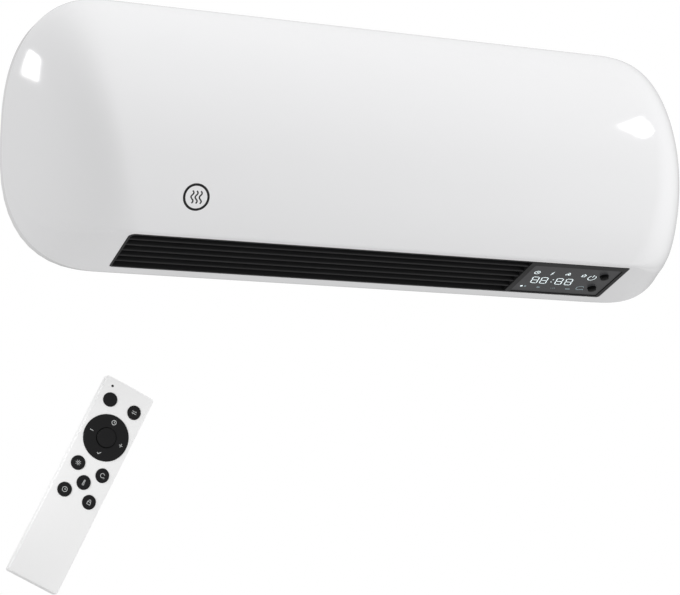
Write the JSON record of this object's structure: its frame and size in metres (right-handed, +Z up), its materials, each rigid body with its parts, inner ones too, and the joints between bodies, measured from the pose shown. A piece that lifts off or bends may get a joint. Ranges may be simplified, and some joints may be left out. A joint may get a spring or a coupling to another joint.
{
  "type": "wall fan heater",
  "caption": "Wide wall-hung bathroom fan heater with a rounded gloss shell, a slatted outlet and touch panel underneath, and a slim hand remote.",
  "frame": {"origin": "centre of the wall bracket's four screw holes, on the wall plane", "axes": "+X to the right seen from the front, along the heater's length; +Y into the wall, so the front faces -Y; +Z up"},
  "size_m": [0.56, 0.1019, 0.4329],
  "materials": {
    "cover_white": "high gloss",
    "housing_white": "fine satin grain",
    "grille_black": "fine satin grain",
    "panel_black": "smoked gloss",
    "button_black": "gloss",
    "inner_black": "matt",
    "duct_grey": "matt, heat resistant",
    "filter_grey": "matt mesh",
    "rubber_black": "matt",
    "rubber_grey": "matt",
    "sheet_steel": "zinc plated",
    "shaft_steel": "ground",
    "fin_aluminium": "bright foil",
    "bronze": "sintered",
    "board_green": "solder mask",
    "relay_blue": "moulded",
    "terminal_green": "moulded",
    "inner_white": "moulded",
    "wire_red": "sleeved",
    "remote_white": "gloss",
    "key_black": "soft satin",
    "window_red": "dark red, clear",
    "contact_gold": "plated spring strip"
  },
  "bodies": {
    "heater": {"front_cover": "cover_white", "rear_housing": "housing_white", "wall_bracket": "sheet_steel", "wall_pads": "rubber_black", "outlet_grille": "grille_black", "intake_grille": "cover_white", "intake_filter": "filter_grey", "control_fascia": "panel_black", "light_box": "inner_black", "led_display": "inner_black", "display_board": "board_green", "tact_switches": "inner_black", "ir_receiver": "inner_black", "power_board": "board_green", "board_parts": "inner_black", "relays": "relay_blue", "terminal_block": "terminal_green", "cord_gland": "rubber_black", "cord_clamp": "inner_white", "fan_scroll": "duct_grey", "vortex_tongue": "duct_grey", "duct_end_left": "duct_grey", "duct_end_right": "duct_grey", "fan_motor": "sheet_steel", "motor_sleeve": "rubber_black", "motor_bracket": "inner_white", "bearing_bush": "bronze", "bearing_rubber": "rubber_black", "ptc_fins": "fin_aluminium", "ptc_bars": "fin_aluminium", "ptc_brackets": "inner_black", "thermal_cutout": "inner_black", "thermal_fuse": "sheet_steel", "cover_screws": "sheet_steel", "inner_screws": "sheet_steel", "wiring": "wire_red", "remote_top": "remote_white", "remote_base": "remote_white", "remote_board": "board_green", "keypad_mat": "rubber_grey", "ir_window": "window_red", "remote_led": "inner_black", "battery_contacts": "contact_gold"},
    "fan": {"fan_impeller": "inner_black", "motor_shaft": "shaft_steel", "fan_stub": "shaft_steel"},
    "power_button": {"power_button": "button_black"},
    "mode_button": {"mode_button": "button_black"},
    "key_power": {"key_power": "key_black"},
    "key_mode": {"key_mode": "key_black"},
    "key_day": {"key_day": "key_black"},
    "key_auto": {"key_auto": "key_black"},
    "key_temp": {"key_temp": "key_black"},
    "key_delay": {"key_delay": "key_black"},
    "key_lock": {"key_lock": "key_black"},
    "ring_key": {"ring_key": "key_black"},
    "centre_key": {"centre_key": "key_black"},
    "battery_tray": {"battery_tray": "remote_white", "coin_cell": "sheet_steel"}
  },
  "joints": [
    {"name": "fan_spin", "type": "hinge", "parent": "heater", "child": "fan", "pos_m": [0, -0.05, 0.002], "axis": [1, 0, 0], "continuous": true},
    {"name": "power_button_press", "type": "slide", "parent": "heater", "child": "power_button", "axis": [0, 0.2894, 0.9572], "range_m": [0, 0.0008], "stiffness_N_per_m": 400, "springref_m": -0.001},
    {"name": "mode_button_press", "type": "slide", "parent": "heater", "child": "mode_button", "axis": [0, 0.2894, 0.9572], "range_m": [0, 0.0008], "stiffness_N_per_m": 400, "springref_m": -0.001},
    {"name": "key_power_press", "type": "slide", "parent": "heater", "child": "key_power", "axis": [0, 1, 0], "range_m": [0, 0.0007], "stiffness_N_per_m": 300, "springref_m": -0.001},
    {"name": "key_mode_press", "type": "slide", "parent": "heater", "child": "key_mode", "axis": [0, 1, 0], "range_m": [0, 0.0007], "stiffness_N_per_m": 300, "springref_m": -0.001},
    {"name": "key_day_press", "type": "slide", "parent": "heater", "child": "key_day", "axis": [0, 1, 0], "range_m": [0, 0.0007], "stiffness_N_per_m": 300, "springref_m": -0.001},
    {"name": "key_auto_press", "type": "slide", "parent": "heater", "child": "key_auto", "axis": [0, 1, 0], "range_m": [0, 0.0007], "stiffness_N_per_m": 300, "springref_m": -0.001},
    {"name": "key_temp_press", "type": "slide", "parent": "heater", "child": "key_temp", "axis": [0, 1, 0], "range_m": [0, 0.0007], "stiffness_N_per_m": 300, "springref_m": -0.001},
    {"name": "key_delay_press", "type": "slide", "parent": "heater", "child": "key_delay", "axis": [0, 1, 0], "range_m": [0, 0.0007], "stiffness_N_per_m": 300, "springref_m": -0.001},
    {"name": "key_lock_press", "type": "slide", "parent": "heater", "child": "key_lock", "axis": [0, 1, 0], "range_m": [0, 0.0007], "stiffness_N_per_m": 300, "springref_m": -0.001},
    {"name": "ring_key_press", "type": "slide", "parent": "heater", "child": "ring_key", "axis": [0, 1, 0], "range_m": [0, 0.0007], "stiffness_N_per_m": 300, "springref_m": -0.001},
    {"name": "centre_key_press", "type": "slide", "parent": "heater", "child": "centre_key", "axis": [0, 1, 0], "range_m": [0, 0.0007], "stiffness_N_per_m": 300, "springref_m": -0.001},
    {"name": "battery_tray_slide", "type": "slide", "parent": "heater", "child": "battery_tray", "axis": [-0.4431, 0, -0.8965], "range_m": [0, 0.026]}
  ]
}
